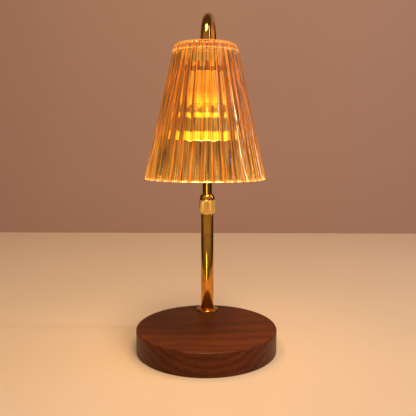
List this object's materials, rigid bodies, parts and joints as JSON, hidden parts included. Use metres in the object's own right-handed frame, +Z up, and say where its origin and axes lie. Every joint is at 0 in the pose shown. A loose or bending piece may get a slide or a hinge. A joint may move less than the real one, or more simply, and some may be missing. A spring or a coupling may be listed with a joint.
{
  "type": "candle warmer",
  "caption": "Candle warmer lamp with a round walnut base, telescopic brass gooseneck and reeded amber glass shade over a spot bulb.",
  "frame": {"origin": "under the middle of the round base, on the surface it stands on", "axes": "+Z up, -Y towards the front where the candle stands, the post is at the rear on +Y"},
  "size_m": [0.14, 0.1432, 0.3306],
  "materials": {
    "walnut": "satin lacquer over dark grain",
    "foam": "matte foam",
    "steel": "zinc plated",
    "ceramic": "unglazed",
    "lead_sheath": "matte",
    "black_plastic": "satin",
    "polished_brass": "polished",
    "satin_brass": "fine straight knurl",
    "nylon": "natural",
    "silicone": "translucent matte",
    "amber_glass": "pressed, fire polished",
    "ivory_plastic": "satin",
    "reflector_glass": "dichroic coat",
    "lit_glass": "clear, lit"
  },
  "bodies": {
    "base": {"wood_base": "walnut", "foot_pad": "foam", "ballast_plate": "steel", "ballast_screw_1": "steel", "ballast_screw_2": "steel", "ballast_screw_3": "steel", "terminal_block": "ceramic", "terminal_screw": "steel", "foot_lead": "lead_sheath", "cord_inlet_bush": "black_plastic", "post_flange": "polished_brass", "threaded_nipple": "steel", "post_washer": "steel", "post_nut": "steel", "outer_tube": "polished_brass", "guide_bush": "nylon", "clamp_collet": "nylon"},
    "nut": {"lock_nut": "satin_brass"},
    "plug": {"guide_plug": "nylon"},
    "arm": {"neck_tube": "polished_brass", "neck_lead": "lead_sheath", "neck_flange": "polished_brass", "top_gasket": "silicone", "glass_shade": "amber_glass", "inner_gasket": "silicone", "shade_cup": "polished_brass", "cup_nut": "polished_brass", "holder_nut": "polished_brass", "holder_housing": "ivory_plastic", "holder_insert": "ceramic", "insert_screw_1": "steel", "insert_screw_2": "steel", "contact_spring_1": "satin_brass", "contact_spring_2": "satin_brass"},
    "bulb": {"bulb_base": "ceramic", "bulb_pin_1": "steel", "bulb_pin_2": "steel", "bulb_reflector": "reflector_glass", "bulb_capsule": "lit_glass", "bulb_lens": "lit_glass"}
  },
  "joints": [
    {"name": "height_slide", "type": "slide", "parent": "base", "child": "plug", "axis": [0, 0, 1], "range_m": [-0.05, 0.03]},
    {"name": "arm_swivel", "type": "hinge", "parent": "plug", "child": "arm", "pos_m": [0, 0.054, 0.0915], "axis": [0, 0, 1], "range_deg": [-90, 90]},
    {"name": "lock_nut_turn", "type": "hinge", "parent": "base", "child": "nut", "pos_m": [0, 0.054, 0.1374], "axis": [0, 0, 1], "range_deg": [0, 360]},
    {"name": "bulb_twist", "type": "hinge", "parent": "arm", "child": "bulb", "pos_m": [-0.00043, -0.00976, 0.295], "axis": [-0.0035, -0.0435, -0.999], "range_deg": [0, 25]}
  ]
}
